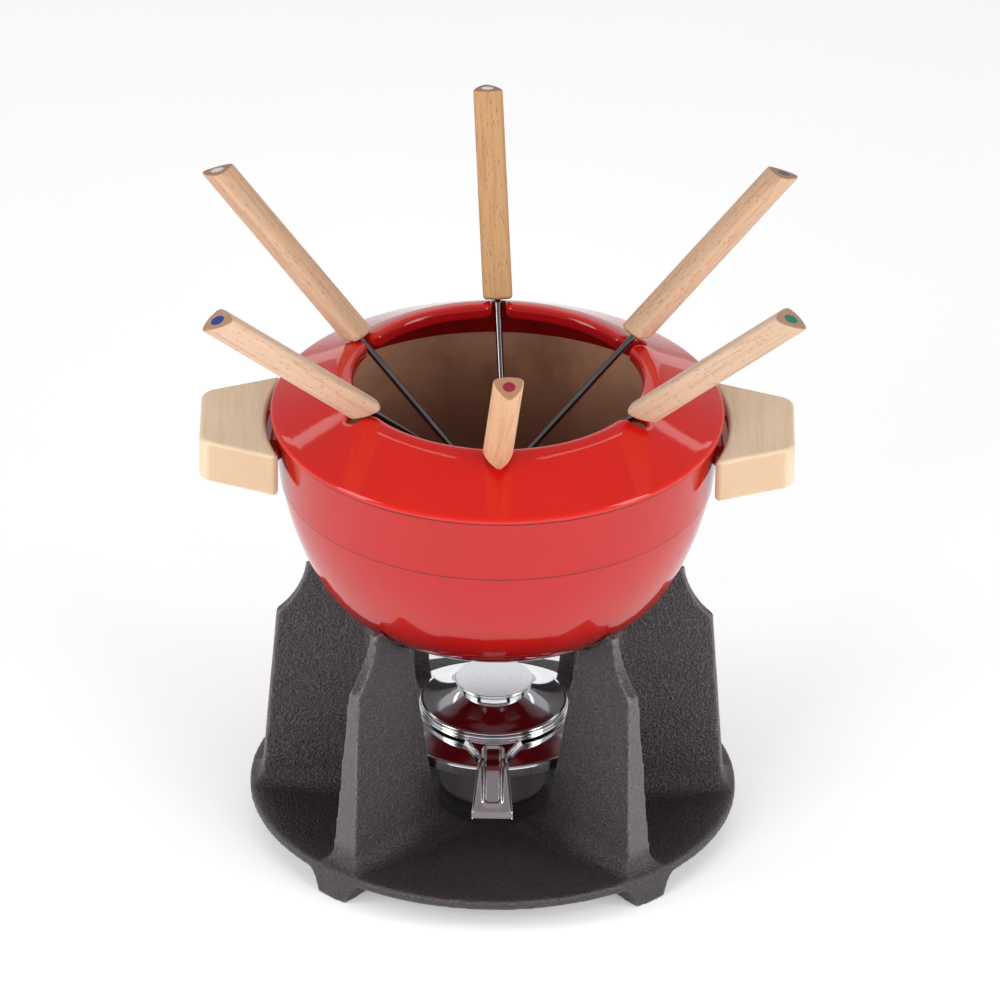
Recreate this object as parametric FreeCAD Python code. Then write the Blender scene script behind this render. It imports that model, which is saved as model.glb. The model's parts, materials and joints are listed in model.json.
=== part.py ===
"""Fondue pot set: cast stand, enamelled pot, splash guard, six forks and a burner.

Millimetres. +Z up, front of the set towards -Y, origin on the table under the pot's centre.
Azimuths are degrees from the front (-Y), positive towards +X. Profiles are (radius, height).
"""
import math
import os

import FreeCAD
import Part
from FreeCAD import Vector

OVERLAP = 0.6             # how deep pieces that are fused sink into one another
DIAGONAL = math.sqrt(0.5)

# ---- stand -------------------------------------------------------------------------------
BASE_R = 119.5            # disc of the stand
BASE_TOP_Z = 16.5         # top of the disc at its rim
BASE_THICK = 5.0
BASE_DISH = 3.5           # how far the middle of the disc lies below its rim
BASE_RIM = 8.0            # width of the level rim
BASE_EDGE = 0.8           # chamfer of the rim
DISH_FLAT_R = 33.0
FIN_AZIMUTHS = (-39.5, 39.5, -90.0, 90.0, -140.5, 140.5)
FOOT_AZIMUTHS = (-41.0, 41.0, -139.0, 139.0)
FIN_TIP = (92.5, 137.0)   # outer corner of a fin's tip, as (radius, height)
FIN_HOLLOW = (96.6, 122.5)
FIN_SHOULDER = (106.8, 110.0)
FIN_HEEL = ((113.2, 24.5), (114.9, 19.1), (118.5, 16.5))    # outer edge, swept into the rim
FIN_ROOT = ((35.6, 13.0), (47.4, 24.5), (53.6, 44.0))       # inner edge, swept out of the dish
FIN_INNER_TOP = (65.6, 116.5)
FIN_STOCK = (48.0, 128.5)  # inner corner of the stock that the bowl's seat cuts away
FIN_THICK_TIP = 4.2
FIN_THICK_FOOT = 13.4
FIN_SWEEP = 11.0          # radius where a fin's sides meet the disc
FOOT_SPAN = 9.0           # width of a foot at the table, in degrees round the disc
FOOT_FLARE = 6.1          # how much each side spreads up to the disc
FOOT_HOLLOW = (0.9, 5.0)  # a point on the spreading side, outwards and up from its start
FOOT_DEPTH = 17.0
SEAT_GAP = 0.4            # drop of the fins' seats below the bowl

# ---- pot ---------------------------------------------------------------------------------
RIM_Z = 221.8
RIM_R = 109.2
STEP_Z = 188.5            # fine step round the outside of the wall
STEP_R = 105.4
BOWL_SIDE = ((104.9, STEP_Z), (102.0, 175.0), (97.6, 161.0), (92.9, 149.5), (88.2, 140.0),
             (82.4, 132.2), (75.0, 125.6), (66.0, 120.0), (56.0, 116.0), (46.0, 113.6))
BOWL_FLAT_R = 38.0
BOWL_Z = 113.0
BOWL_WALL = 4.0
LUG_TOP_Z = 213.0
LUG_BOTTOM_Z = 202.0
LUG_END_X = 130.0
LUG_HALF_Y = 15.0
LUG_ROOT = 6.0            # stock of a lug inside the wall
LUG_CORNER_R = 3.0

# ---- wooden pot handles --------------------------------------------------------------------
GRIP_Z = (196.0, 218.0)
GRIP_INNER_X = 102.5
GRIP_OUTER_X = 144.0
GRIP_INNER_HALF_Y = 42.6
GRIP_OUTER_HALF_Y = 25.0
GRIP_HOLLOW_R = 112.0     # curved side that faces the pot
GRIP_CORNER_R = 9.0
GRIP_EDGE_R = 2.2
POCKET_GAP = 0.25
SCREW_X = 122.0
SCREW_R = 2.0
SCREW_HOLE_GAP = 0.2
SCREW_HEAD_R = 4.0
SCREW_HEAD_H = 2.4
SCREW_HEAD_EDGE_R = 0.5
SCREW_SUNK = 0.6          # depth of the head below the grip's underside
SCREW_SLOT = (1.0, 0.4)   # width and depth of the driver slot
SCREW_SHORT = 1.0         # how far the screw stays below the lug's top

# ---- splash guard --------------------------------------------------------------------------
GUARD_R = 110.0
GUARD_CREST = (72.8, 241.7)
GUARD_LIP_R = 70.0
GUARD_LIP_Z = 234.8
GUARD_SLOPE_END = (80.0, 239.9)
GUARD_EDGE = ((GUARD_R, 223.0), (109.65, 224.15), (108.6, 224.9))     # rounded outer edge
GUARD_INNER_TOP_Z = 238.1
GUARD_THICK = 3.0
SKIRT_R = (100.8, 103.2)
SKIRT_Z = 210.2
NOTCH_HALF = 3.4
NOTCH_R = 79.0            # centre of the notch's round end
NOTCH_CORNER_R = 5.0      # rounded corners where a notch opens into the mouth

# ---- forks ---------------------------------------------------------------------------------
# name, azimuth of the notch, inner end of the handle (radius, height, sideways), rise, turn
FORKS = (
    ("back", 180.0, (78.1, 242.4, 0.8), 47.4, 5.0),
    ("back_left", -120.0, (78.8, 241.1, 0.2), 42.5, 2.7),
    ("back_right", 120.0, (77.2, 244.9, 0.2), 40.5, -1.4),
    ("front_left", -60.0, (72.7, 243.4, 1.0), 40.3, -1.7),
    ("front_right", 60.0, (79.1, 244.5, 0.3), 42.3, 3.8),
    ("front", 0.0, (80.5, 242.5, 0.7), 47.3, 3.7),
)
FORK_HANDLE = 106.0
FORK_WIDTH = 14.0
FORK_CORNER_R = 2.4
FORK_SIDE_TURN = 36.0     # bend of each slightly bulging side, in degrees
FORK_CUT = 28.0           # tilt of the handle's two ends, in degrees
FORK_SPARE = 20.0         # stock beyond the two ends
FORK_END_R = 0.8
FORK_NOSE_R = 1.6
INLAY_R = 3.0
INLAY_DEPTH = 4.0
SHAFT_R = 1.7
SHAFT_REACH = 130.0       # from the handle to the points
SHAFT_IN_HANDLE = 55.0
PRONG_LENGTH = 26.0
PRONG_OFFSET = 2.2
PRONG_R = 1.0
PRONG_POINT = 7.0
PRONG_TIP_R = 0.25

# ---- burner --------------------------------------------------------------------------------
CUP_R = 26.5
CUP_Z = (13.0, 52.4)
CUP_CORNER_R = 5.0
SHEET = 0.9               # gauge of the pressed steel
FLANGE_R = 31.5
TRAY_R = 52.0
TRAY_RIM_Z = 46.7
TRAY_Z = 52.4
TRAY_EDGE_R = 1.6
TRAY_GAP = 0.2
TRAY_WELL_R = 32.2        # flat that takes the cup's flange
TRAY_CREST = (33.4, 55.8)  # the slope falls from here to the rim
INSERT_R = 25.0
INSERT_Z = (14.2, 50.0)
INSERT_SHEET = 0.6
INSERT_CORNER_R = 4.0
WADDING_TOP_Z = 43.0
WADDING_EDGE_R = 3.6
GAUZE_THICK = 0.9
GAUZE_GAP = 0.1
GAUZE_BORDER = 3.4        # unpunched width round the gauze
GAUZE_HOLE_R = 1.35
GAUZE_PITCH = 3.8
THROAT_R = 30.0
THROAT_TOP_Z = 59.4
PORT_R = 1.9
PORTS = 8
RING_R = 36.6
RING_Z = (56.6, 60.2)
RUN_GAP = 0.08            # running clearance round the throat
LEVER_WEB = ((34.6, 15.4), (49.0, 7.0))     # radius, half width
LEVER_END = (72.0, 9.9)
LEVER_TOP = ((34.6, 58.3), (53.2, 55.2), (72.0, 37.2))    # radius, height
LEVER_THICK = 1.6
LEVER_CORNER_R = 1.6
LEVER_RIB = 1.5           # height of the raised frame
LEVER_FRAME = (4.9, 39.6, 68.8)     # half width, first and last radius
LEVER_RECESS = (3.1, 41.8, 66.6)
BELL_RIM = (35.6, 60.6)
BELL_LIP_R = 0.45
BELL_SIDE = ((34.6, 60.7), (31.0, 61.5), (27.0, 62.7), (22.6, 64.5), (18.0, 67.0))
NECK_R = 17.6
NECK_FLARE = 0.7
CAP_R = 19.0
CAP_Z = (71.9, 72.9)
CAP_EDGE_R = 0.35
STUD_R = 2.5
STUD_LENGTH = 1.4


def vec(r, z):
    """A profile point as a vector in the XZ plane."""
    return Vector(r, 0, z)


def line(a, b):
    return Part.LineSegment(vec(*a), vec(*b)).toShape()


def arc(a, middle, b):
    return Part.Arc(vec(*a), vec(*middle), vec(*b)).toShape()


def curve(points):
    """Smooth edge through profile points."""
    spline = Part.BSplineCurve()
    spline.interpolate([vec(*p) for p in points])
    return spline.toShape()


def lines(*points):
    return [line(a, b) for a, b in zip(points, points[1:])]


def face(edges):
    return Part.Face(Part.Wire(Part.__sortEdges__(edges)))


def turned(edges):
    """Solid of revolution about Z of a closed profile."""
    return face(edges).revolve(Vector(), Vector(0, 0, 1), 360)


def cylinder(r, z0, z1, x=0.0, y=0.0):
    return Part.makeCylinder(r, z1 - z0, Vector(x, y, z0))


def block(x0, x1, y0, y1, z0, z1):
    return Part.makeBox(x1 - x0, y1 - y0, z1 - z0, Vector(x0, y0, z0))


def turn(shape, degrees):
    """Copy of a shape turned about Z."""
    copy = shape.copy()
    copy.rotate(Vector(), Vector(0, 0, 1), degrees)
    return copy


def prism(points, axis):
    """Closed polygon of vectors, extruded along a vector."""
    return Part.Face(Part.makePolygon(list(points) + [points[0]])).extrude(axis)


def inset(points, depth):
    """Profile points moved inwards, square to the profile."""
    moved = []
    for i, (r, z) in enumerate(points):
        before, after = points[max(i - 1, 0)], points[min(i + 1, len(points) - 1)]
        dr, dz = after[0] - before[0], after[1] - before[1]
        size = math.hypot(dr, dz)
        moved.append((r + depth * dz / size, z - depth * dr / size))
    return moved


def one_solid(shape):
    """The solid of a boolean result, with its split faces joined and no stray crumbs."""
    return max(shape.removeSplitter().Solids, key=lambda solid: solid.Volume)


# ---- pot -----------------------------------------------------------------------------------
def bowl_outside():
    """Edges of the bowl's outer profile, from the rim to the middle of its bottom."""
    side = list(BOWL_SIDE) + [(BOWL_FLAT_R, BOWL_Z)]
    return [line((RIM_R, RIM_Z), (STEP_R, STEP_Z)), line((STEP_R, STEP_Z), side[0]),
            curve(side), line((BOWL_FLAT_R, BOWL_Z), (0, BOWL_Z))]


def bowl_mass():
    """The bowl as if it were full, for cutting its seats."""
    return turned(bowl_outside() + lines((0, BOWL_Z), (0, RIM_Z), (RIM_R, RIM_Z)))


def pot_bowl():
    inner = inset(BOWL_SIDE, BOWL_WALL)
    floor = (BOWL_FLAT_R, BOWL_Z + BOWL_WALL)
    edges = bowl_outside()
    edges += [line((0, BOWL_Z), (0, floor[1])), line((0, floor[1]), floor), curve([floor] + inner[::-1])]
    edges += lines(inner[0], (RIM_R - BOWL_WALL, RIM_Z), (RIM_R, RIM_Z))
    bowl = turned(edges)
    for side in (-1, 1):
        near, far = sorted((side * (STEP_R - LUG_ROOT), side * LUG_END_X))
        lug = block(near, far, -LUG_HALF_Y, LUG_HALF_Y, LUG_BOTTOM_Z, LUG_TOP_Z)
        corners = [e for e in lug.Edges if abs(e.BoundBox.Center.x) > RIM_R and e.BoundBox.ZLength > 1]
        lug = lug.makeFillet(LUG_CORNER_R, corners)
        bowl = bowl.fuse(lug.cut(cylinder(STEP_R, LUG_BOTTOM_Z, LUG_TOP_Z)))
        bowl = bowl.cut(cylinder(SCREW_R, LUG_BOTTOM_Z - 1, LUG_TOP_Z + 1, side * SCREW_X))
    return one_solid(bowl)


# ---- stand ---------------------------------------------------------------------------------
def fin():
    """One fin standing towards +X, with its sides and ends swept into the disc."""
    low = BASE_TOP_Z - BASE_DISH - 1
    top = FIN_TIP[1]
    heel, root = FIN_HEEL[-1], FIN_ROOT[0]
    stock_r, stock_z = FIN_STOCK
    edges = [line((stock_r, top), FIN_TIP), arc(FIN_TIP, FIN_HOLLOW, FIN_SHOULDER),
             line(FIN_SHOULDER, FIN_HEEL[0]), arc(*FIN_HEEL), arc(*FIN_ROOT)]
    edges += lines(heel, (heel[0], low), (root[0], low), root)
    edges += lines(FIN_ROOT[-1], FIN_INNER_TOP, (FIN_INNER_TOP[0], stock_z), (stock_r, stock_z),
                   (stock_r, top))
    side_view = face(edges)
    side_view.translate(Vector(0, -BASE_R / 2, 0))
    side_view = side_view.extrude(Vector(0, BASE_R, 0))

    half_tip, half_foot = FIN_THICK_TIP / 2, FIN_THICK_FOOT / 2
    sweep, ground = FIN_SWEEP, BASE_TOP_Z - 1
    bend = sweep * (1 - DIAGONAL)
    edges = [line((-half_tip, top + 1), (half_tip, top + 1)),
             line((-half_foot - sweep, low), (half_foot + sweep, low))]
    for s in (1, -1):
        start, end = (s * half_foot, ground + sweep), (s * (half_foot + sweep), ground)
        edges += [line((s * half_tip, top + 1), start),
                  arc(start, (s * (half_foot + bend), ground + bend), end),
                  line(end, (end[0], low))]
    end_view = turn(face(edges), 90).extrude(Vector(BASE_R, 0, 0))
    return side_view.common(end_view)


def foot_ring():
    """Ring sector under the disc that makes one foot, centred on +X."""
    top = BASE_TOP_Z - BASE_THICK + OVERLAP
    ring = cylinder(BASE_R, 0, top).cut(cylinder(BASE_R - FOOT_DEPTH, -1, top + 1))
    half = math.radians(FOOT_SPAN / 2) * BASE_R
    wide = half + FOOT_FLARE
    out, up = FOOT_HOLLOW
    edges = [line((-half, 0), (half, 0)), arc((half, 0), (half + out, up), (wide, top)),
             line((wide, top), (-wide, top)), arc((-wide, top), (-half - out, up), (-half, 0))]
    return ring.common(turn(face(edges), 90).extrude(Vector(BASE_R + 1, 0, 0)))


def stand_casting():
    """Dished disc with six fins and four feet, one iron casting."""
    low = BASE_TOP_Z - BASE_DISH
    rim_low = BASE_TOP_Z - BASE_THICK
    rim_in = BASE_R - BASE_RIM
    casting = turned(lines((0, low), (DISH_FLAT_R, low), (rim_in, BASE_TOP_Z),
                           (BASE_R - BASE_EDGE, BASE_TOP_Z), (BASE_R, BASE_TOP_Z - BASE_EDGE),
                           (BASE_R, rim_low), (rim_in, rim_low), (DISH_FLAT_R, low - BASE_THICK),
                           (0, low - BASE_THICK), (0, low)))
    seats = bowl_mass()
    seats.translate(Vector(0, 0, -SEAT_GAP))
    blade = fin().cut(seats)
    for azimuth in FIN_AZIMUTHS:
        casting = casting.fuse(turn(blade, azimuth - 90))
    for azimuth in FOOT_AZIMUTHS:
        casting = casting.fuse(turn(foot_ring(), azimuth - 90))
    return one_solid(casting)


# ---- wooden pot handles ----------------------------------------------------------------------
def pot_handle(side):
    """Wooden grip on the lug at +X (side 1) or -X (side -1)."""
    low, high = GRIP_Z
    plan = [Vector(GRIP_INNER_X, -GRIP_INNER_HALF_Y, low), Vector(GRIP_OUTER_X, -GRIP_OUTER_HALF_Y, low),
            Vector(GRIP_OUTER_X, GRIP_OUTER_HALF_Y, low), Vector(GRIP_INNER_X, GRIP_INNER_HALF_Y, low)]
    grip = prism(plan, Vector(0, 0, high - low))
    corners = [e for e in grip.Edges
               if e.BoundBox.ZLength > 1 and e.BoundBox.Center.x > GRIP_OUTER_X - 1]
    grip = grip.makeFillet(GRIP_CORNER_R, corners)
    grip = grip.cut(cylinder(GRIP_HOLLOW_R, low - 1, high + 1))
    grip = one_solid(grip)
    grip = grip.makeFillet(GRIP_EDGE_R, grip.Edges)
    gap = POCKET_GAP
    grip = grip.cut(block(0, LUG_END_X + gap, -LUG_HALF_Y - gap, LUG_HALF_Y + gap,
                          LUG_BOTTOM_Z - gap, LUG_TOP_Z + gap))
    grip = grip.cut(cylinder(SCREW_R + SCREW_HOLE_GAP, low - 1, LUG_BOTTOM_Z, SCREW_X))
    head_top = low + SCREW_SUNK + SCREW_HEAD_H
    grip = grip.cut(cylinder(SCREW_HEAD_R + SCREW_HOLE_GAP, low - 1, head_top, SCREW_X))
    return turn(one_solid(grip), 0 if side > 0 else 180)


def handle_screws():
    """One screw up through each grip into its lug."""
    low = GRIP_Z[0] + SCREW_SUNK
    high = low + SCREW_HEAD_H
    slot_width, slot_depth = SCREW_SLOT
    screws = []
    for side in (-1, 1):
        x = side * SCREW_X
        screw = cylinder(SCREW_HEAD_R, low, high, x)
        edge = [e for e in screw.Edges if e.BoundBox.ZMax < low + 0.01]
        screw = screw.makeFillet(SCREW_HEAD_EDGE_R, edge)
        screw = screw.fuse(cylinder(SCREW_R, high, LUG_TOP_Z - SCREW_SHORT, x))
        slot = block(x - slot_width / 2, x + slot_width / 2, -SCREW_HEAD_R, SCREW_HEAD_R,
                     low - 1, low + slot_depth)
        screws.append(one_solid(screw.cut(slot)))
    return Part.makeCompound(screws)


# ---- splash guard ----------------------------------------------------------------------------
def guard_notch(low, high):
    """Round-ended slot towards +X with a mouth that flares into the opening."""
    corner = NOTCH_CORNER_R
    corner_y = NOTCH_HALF + corner
    corner_x = math.sqrt((GUARD_LIP_R + corner) ** 2 - corner_y ** 2)
    inside = GUARD_LIP_R - NOTCH_R / 4
    mouth = block(inside, corner_x, -corner_y, corner_y, low, high)
    for y in (-corner_y, corner_y):
        mouth = mouth.cut(cylinder(corner, low, high, corner_x, y))
    slot = block(inside, NOTCH_R, -NOTCH_HALF, NOTCH_HALF, low, high)
    return slot.fuse(cylinder(NOTCH_HALF, low, high, NOTCH_R)).fuse(mouth)


def guard_ring():
    """Sloping ring with a rolled inner lip, six notches and a skirt that sits in the pot."""
    crest_r, crest_z = GUARD_CREST
    slope_r, slope_z = GUARD_SLOPE_END
    edge_r, edge_z = GUARD_EDGE[-1]
    fall = math.atan2(slope_z - edge_z, edge_r - slope_r)
    crown = (slope_r - crest_r) / math.sin(fall)
    crown_z = crest_z - crown
    crown_middle = (crest_r + crown * math.sin(fall / 2), crown_z + crown * math.cos(fall / 2))
    nose = crest_r - GUARD_LIP_R
    nose_middle = (crest_r - nose * DIAGONAL, crest_z - nose * (1 - DIAGONAL))
    bead = GUARD_THICK / 2
    bead_z = GUARD_LIP_Z + bead
    inner_r = GUARD_LIP_R + GUARD_THICK
    under = (slope_r - GUARD_THICK * math.sin(fall), slope_z - GUARD_THICK * math.cos(fall))
    skirt_in, skirt_out = SKIRT_R
    meet_z = under[1] - (skirt_in - under[0]) * math.tan(fall)
    round_r = (skirt_out - skirt_in) / 2
    round_z = SKIRT_Z + round_r

    edges = [arc(*GUARD_EDGE), line(GUARD_EDGE[-1], GUARD_SLOPE_END),
             arc(GUARD_SLOPE_END, crown_middle, GUARD_CREST),
             arc(GUARD_CREST, nose_middle, (GUARD_LIP_R, crest_z - nose)),
             line((GUARD_LIP_R, crest_z - nose), (GUARD_LIP_R, bead_z)),
             arc((GUARD_LIP_R, bead_z), (GUARD_LIP_R + bead, GUARD_LIP_Z), (inner_r, bead_z)),
             arc((skirt_in, round_z), (skirt_in + round_r, SKIRT_Z), (skirt_out, round_z))]
    edges += lines((inner_r, bead_z), (inner_r, GUARD_INNER_TOP_Z), under, (skirt_in, meet_z),
                   (skirt_in, round_z))
    edges += lines((skirt_out, round_z), (skirt_out, RIM_Z), (GUARD_R, RIM_Z), GUARD_EDGE[0])
    guard = turned(edges)
    notch = guard_notch(GUARD_LIP_Z - 4, crest_z + 4)
    for _name, azimuth, *_rest in FORKS:
        guard = guard.cut(turn(notch, azimuth - 90))
    return one_solid(guard)


# ---- forks -----------------------------------------------------------------------------------
def fork_placement(azimuth, start, rise, turn_out):
    """Placement that takes a fork from its own frame (points to -Z, flat side to +Y) to its notch."""
    a, e, t = math.radians(azimuth), math.radians(rise), math.radians(turn_out)
    out = Vector(math.sin(a), -math.cos(a), 0)
    across = Vector(math.cos(a), math.sin(a), 0)
    r, z, sideways = start
    origin = out * r + across * sideways + Vector(0, 0, z)
    axis = (out * math.cos(t) + across * math.sin(t)) * math.cos(e) + Vector(0, 0, math.sin(e))
    flat = Vector(0, 0, 1) - axis * axis.z
    flat.normalize()
    side = flat.cross(axis)
    return FreeCAD.Placement(FreeCAD.Matrix(side.x, flat.x, axis.x, origin.x,
                                            side.y, flat.y, axis.y, origin.y,
                                            side.z, flat.z, axis.z, origin.z,
                                            0, 0, 0, 1))


def rounded_triangle(width, corner_r, z):
    """Face with three soft corners, one of them towards -Y, and slightly bulging sides."""
    bulge = math.radians(FORK_SIDE_TURN / 2)
    steep = math.sin(math.pi / 3) / math.sin(bulge)
    reach = (width - 2 * corner_r) / (1.5 + math.sqrt(0.75) * math.tan(bulge / 2))
    side_r = reach * steep + corner_r
    side_in = side_r - corner_r - reach * (0.5 + math.sqrt(0.75) * math.tan(bulge / 2))

    def around(radius, angle, centre=Vector()):
        return centre + Vector(radius * math.cos(angle), radius * math.sin(angle), 0)

    edges = []
    for degrees in (-90, 30, 150):
        corner = math.radians(degrees)
        middle = corner + math.pi / 3
        swing = math.pi / 3 - bulge
        tip = around(reach, corner, Vector(0, 0, z))
        far = around(-side_in, middle, Vector(0, 0, z))
        edges.append(Part.Arc(*[around(corner_r, corner + s * swing, tip) for s in (-1, 0, 1)]).toShape())
        edges.append(Part.Arc(*[around(side_r, middle + s * bulge, far) for s in (-1, 0, 1)]).toShape())
    return face(edges)


def beyond(z, tilt):
    """Big block above a tilted plane through the fork's axis at height z."""
    big = FORK_HANDLE
    cut = block(-big, big, -big, big, 0, 2 * big)
    cut.rotate(Vector(), Vector(1, 0, 0), tilt)
    cut.translate(Vector(0, 0, z))
    return cut


def end_edges(shape, z, reach):
    """Edges of the tilted end face that crosses the axis at z."""
    lean = math.tan(math.radians(FORK_CUT))
    return [e for e in shape.Edges
            if all(abs(v.Point.z - (z - lean * v.Point.y)) < reach for v in e.Vertexes)]


def fork_handle():
    blank = rounded_triangle(FORK_WIDTH, FORK_CORNER_R, -FORK_SPARE)
    blank = blank.extrude(Vector(0, 0, FORK_HANDLE + 2 * FORK_SPARE))
    lower = beyond(0, -FORK_CUT).common(blank)
    handle = one_solid(lower.cut(beyond(FORK_HANDLE, -FORK_CUT)))
    handle = handle.makeFillet(FORK_NOSE_R, end_edges(handle, 0, 0.05))
    handle = handle.makeFillet(FORK_END_R, end_edges(handle, FORK_HANDLE, 0.05))
    handle = handle.cut(cylinder(SHAFT_R, -FORK_SPARE, SHAFT_IN_HANDLE))
    handle = handle.cut(cylinder(INLAY_R, FORK_HANDLE - INLAY_DEPTH, FORK_HANDLE + FORK_SPARE))
    return one_solid(handle)


def fork_inlay():
    rod = cylinder(INLAY_R, FORK_HANDLE - INLAY_DEPTH, FORK_HANDLE + FORK_SPARE)
    return one_solid(rod.cut(beyond(FORK_HANDLE, -FORK_CUT)))


def fork_shaft():
    """Round steel shaft that splits into two pointed prongs."""
    tips = -SHAFT_REACH
    shoulder = tips + PRONG_POINT
    root = tips + PRONG_LENGTH
    shaft = cylinder(SHAFT_R, root + PRONG_OFFSET - OVERLAP, SHAFT_IN_HANDLE)
    bend = [line((PRONG_OFFSET, shoulder), (PRONG_OFFSET, root)),
            arc((PRONG_OFFSET, root), (0, root + PRONG_OFFSET), (-PRONG_OFFSET, root)),
            line((-PRONG_OFFSET, root), (-PRONG_OFFSET, shoulder))]
    section = Part.Wire(Part.makeCircle(PRONG_R, vec(PRONG_OFFSET, shoulder), Vector(0, 0, 1)))
    shaft = shaft.fuse(Part.Wire(bend).makePipeShell([section], True, False))
    for x in (-PRONG_OFFSET, PRONG_OFFSET):
        shaft = shaft.fuse(Part.makeCone(PRONG_TIP_R, PRONG_R, PRONG_POINT, vec(x, tips)))
    return one_solid(shaft)


# ---- burner ----------------------------------------------------------------------------------
def cup(r, z0, z1, wall, corner):
    """Edges of an open pressed cup, from the middle of its floor."""
    bend = corner * (1 - DIAGONAL)
    inside = (corner - wall) * (1 - DIAGONAL)
    floor, level, flat = z0 + wall, z0 + corner, r - corner
    inner_r = r - wall
    edges = lines((0, floor), (0, z0), (flat, z0))
    edges.append(arc((flat, z0), (r - bend, z0 + bend), (r, level)))
    edges += lines((r, level), (r, z1), (inner_r, z1), (inner_r, level))
    edges.append(arc((inner_r, level), (inner_r - inside, floor + inside), (flat, floor)))
    edges.append(line((flat, floor), (0, floor)))
    return edges


def burner_cup():
    low, high = CUP_Z
    body = turned(cup(CUP_R, low, high + SHEET, SHEET, CUP_CORNER_R))
    flange = cylinder(FLANGE_R, high, high + SHEET)
    flange = flange.cut(cylinder(CUP_R - SHEET, high - 1, high + SHEET + 1))
    return one_solid(body.fuse(flange))


def burner_tray():
    """Sloping plate with a flat well under the cup's flange and a down-turned rim."""
    bend = TRAY_EDGE_R * (1 - DIAGONAL)
    hole = CUP_R + TRAY_GAP
    outer, top, flat = TRAY_R, TRAY_Z, TRAY_R - TRAY_EDGE_R
    crest_r, crest_z = TRAY_CREST
    edges = lines((flat, top - SHEET), (crest_r + SHEET, crest_z - SHEET), (TRAY_WELL_R + SHEET, top - SHEET),
                  (hole, top - SHEET), (hole, top), (TRAY_WELL_R, top), TRAY_CREST, (flat, top))
    edges.append(arc((flat, top), (outer - bend, top - bend), (outer, top - TRAY_EDGE_R)))
    edges += lines((outer, top - TRAY_EDGE_R), (outer, TRAY_RIM_Z), (outer - SHEET, TRAY_RIM_Z),
                   (outer - SHEET, top - TRAY_EDGE_R), (flat, top - SHEET))
    return turned(edges)


def fuel_insert():
    low, high = INSERT_Z
    return turned(cup(INSERT_R, low, high, INSERT_SHEET, INSERT_CORNER_R))


def fuel_wadding():
    low = INSERT_Z[0] + INSERT_SHEET
    pad = cylinder(INSERT_R - INSERT_SHEET, low, WADDING_TOP_Z)
    return pad.makeFillet(WADDING_EDGE_R, [e for e in pad.Edges if e.BoundBox.ZMax < low + 0.1])


def burner_gauze():
    """Fine punched disc over the wadding."""
    low, high = WADDING_TOP_Z, WADDING_TOP_Z + GAUZE_THICK
    disc = cylinder(INSERT_R - INSERT_SHEET - GAUZE_GAP, low, high)
    holes = []
    rows = int(INSERT_R / GAUZE_PITCH)
    for i in range(-rows, rows + 1):
        for j in range(-rows, rows + 1):
            x = (i + 0.5 * (j % 2)) * GAUZE_PITCH
            y = j * GAUZE_PITCH * math.sqrt(0.75)
            if math.hypot(x, y) < INSERT_R - GAUZE_BORDER:
                holes.append(cylinder(GAUZE_HOLE_R, low - 1, high + 1, x, y))
    return one_solid(disc.cut(Part.makeCompound(holes)))


def burner_throat():
    """Short collar with air ports, standing on the cup's flange."""
    low, high = CUP_Z[1] + SHEET, THROAT_TOP_Z
    collar = cylinder(THROAT_R, low, high).cut(cylinder(THROAT_R - SHEET, low - 1, high + 1))
    port = Part.makeCylinder(PORT_R, THROAT_R, vec(0, (low + high) / 2), Vector(1, 0, 0))
    port.translate(Vector(THROAT_R / 2, 0, 0))
    for i in range(PORTS):
        collar = collar.cut(turn(port, 360 * (i + 0.5) / PORTS))
    return one_solid(collar)


def regulator_ring():
    """Turning ring with two rounded beads, sliding round the throat."""
    low, high = RING_Z
    bore = THROAT_R + RUN_GAP
    bead = (high - low) / 4
    edges = [line((bore, high), (bore, low)), line((bore, low), (RING_R - bead, low))]
    for i in range(2):
        base = low + 2 * bead * i
        edges.append(arc((RING_R - bead, base), (RING_R, base + bead), (RING_R - bead, base + 2 * bead)))
    edges.append(line((RING_R - bead, high), (bore, high)))
    return turned(edges)


def regulator_lever():
    """Pressed lever: a web that spreads to the ring, then a tongue that slopes down."""
    (web_r, web_half), (neck_r, neck_half) = LEVER_WEB
    end_r, end_half = LEVER_END
    plan = [Vector(-web_half, -web_r, 0), Vector(-neck_half, -neck_r, 0), Vector(-end_half, -end_r, 0),
            Vector(end_half, -end_r, 0), Vector(neck_half, -neck_r, 0), Vector(web_half, -web_r, 0)]
    outline = prism(plan, Vector(0, 0, 100))
    ends = [e for e in outline.Edges if e.BoundBox.ZLength > 1 and e.BoundBox.Center.y < 1 - end_r]
    outline = outline.makeFillet(LEVER_CORNER_R, ends)

    def strip(half, first, last, lift, thick):
        """Bent strip along the lever's top line, from radius first to last."""
        upper = [Vector(-half, -r, z + lift) for r, z in LEVER_TOP]
        lower = [Vector(-half, -r, z + lift - thick) for r, z in LEVER_TOP[::-1]]
        bent = prism(upper + lower, Vector(2 * half, 0, 0))
        return bent.common(block(-half, half, -last, -first, 0, BELL_RIM[1]))

    sheet = strip(web_half, web_r, end_r, 0, LEVER_THICK)
    frame = strip(*LEVER_FRAME, LEVER_RIB, LEVER_RIB + OVERLAP)
    recess = strip(*LEVER_RECESS, LEVER_RIB, LEVER_RIB)
    low, high = RING_Z
    lever = sheet.fuse(frame).cut(recess).common(outline)
    lever = lever.cut(cylinder(RING_R + RUN_GAP, low - LEVER_THICK, high + LEVER_THICK))
    neck = sheet.common(outline).common(cylinder(RING_R + OVERLAP, low - LEVER_THICK, high - SHEET))
    neck = neck.cut(cylinder(RING_R - (high - low) / 4, low - LEVER_THICK, high))
    return one_solid(lever.fuse(neck.cut(regulator_ring())))


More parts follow.
